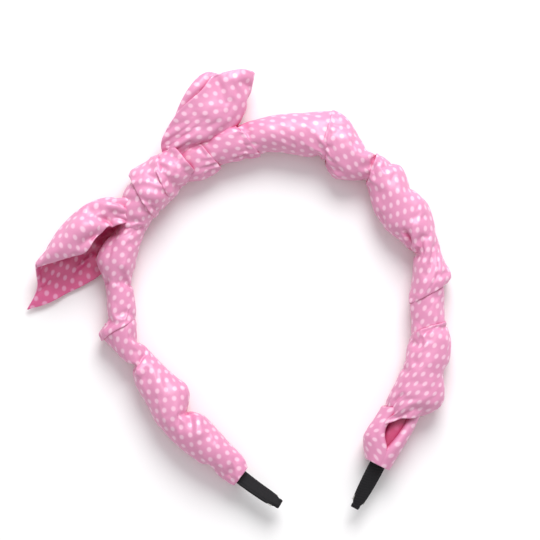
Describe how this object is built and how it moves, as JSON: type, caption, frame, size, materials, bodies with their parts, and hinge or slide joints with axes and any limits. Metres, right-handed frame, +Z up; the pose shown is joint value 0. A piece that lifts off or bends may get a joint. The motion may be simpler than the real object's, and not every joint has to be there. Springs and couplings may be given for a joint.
{
  "type": "hair hoop with a knotted bow",
  "caption": "Springy open hair hoop wound in a padded satin sash, knotted beside the crown into a bow with two free ears.",
  "frame": {"origin": "on the surface that the hoop lies on, below the middle of the whole object", "axes": "+Z up from the surface, square to the hoop's plane; +Y along the hoop from its tips to its crown; +X towards the plain side of the hoop, away from the bow"},
  "size_m": [0.1684, 0.183, 0.0242],
  "materials": {
    "spring_steel": "rolled spring steel",
    "black_tape": "fine ribbed woven tape",
    "pink_satin": "soft satin with small pale dots",
    "glue": "clear hot-melt glue"
  },
  "bodies": {
    "crown": {"spring_strip_crown": "spring_steel", "tape_crown": "black_tape", "wrap_crown": "pink_satin", "wrap_crown_right": "pink_satin"},
    "left_leg": {"spring_strip_left": "spring_steel", "tape_left": "black_tape", "tip_tape_left": "black_tape", "tape_end_left": "black_tape", "glue_left": "glue", "knot_band_left": "pink_satin", "knot_band_middle": "pink_satin", "knot_band_right": "pink_satin", "wrap_by_knot": "pink_satin", "wrap_crown_left": "pink_satin", "wrap_left_1": "pink_satin", "wrap_left_2": "pink_satin", "wrap_left_3": "pink_satin", "wrap_left_4": "pink_satin", "wrap_left_5": "pink_satin"},
    "right_leg": {"spring_strip_right": "spring_steel", "tape_right": "black_tape", "tip_tape_right": "black_tape", "tape_end_right": "black_tape", "glue_right": "glue", "wrap_right_1": "pink_satin", "wrap_right_2": "pink_satin", "wrap_right_3": "pink_satin", "wrap_right_4": "pink_satin", "wrap_right_5": "pink_satin"},
    "upper_ear": {"ear_upper": "pink_satin"},
    "lower_ear": {"ear_lower": "pink_satin"}
  },
  "joints": [
    {"name": "left_leg_flex", "type": "hinge", "parent": "crown", "child": "left_leg", "pos_m": [0.01621, 0.06228, 0.008], "axis": [0, 0, -1], "range_deg": [-4, 18], "stiffness_Nm_per_rad": 0.6},
    {"name": "right_leg_flex", "type": "hinge", "parent": "crown", "child": "right_leg", "pos_m": [0.06142, 0.03993, 0.008], "axis": [0, 0, 1], "range_deg": [-4, 18], "stiffness_Nm_per_rad": 0.6},
    {"name": "upper_ear_bend", "type": "hinge", "parent": "left_leg", "child": "upper_ear", "pos_m": [-0.01285, 0.06304, 0.016], "axis": [0.8351, -0.5501, 0], "range_deg": [0, 40], "stiffness_Nm_per_rad": 0.02},
    {"name": "lower_ear_bend", "type": "hinge", "parent": "left_leg", "child": "lower_ear", "pos_m": [-0.04013, 0.044, 0.012], "axis": [0, 1, 0], "range_deg": [0, 40], "stiffness_Nm_per_rad": 0.02}
  ]
}
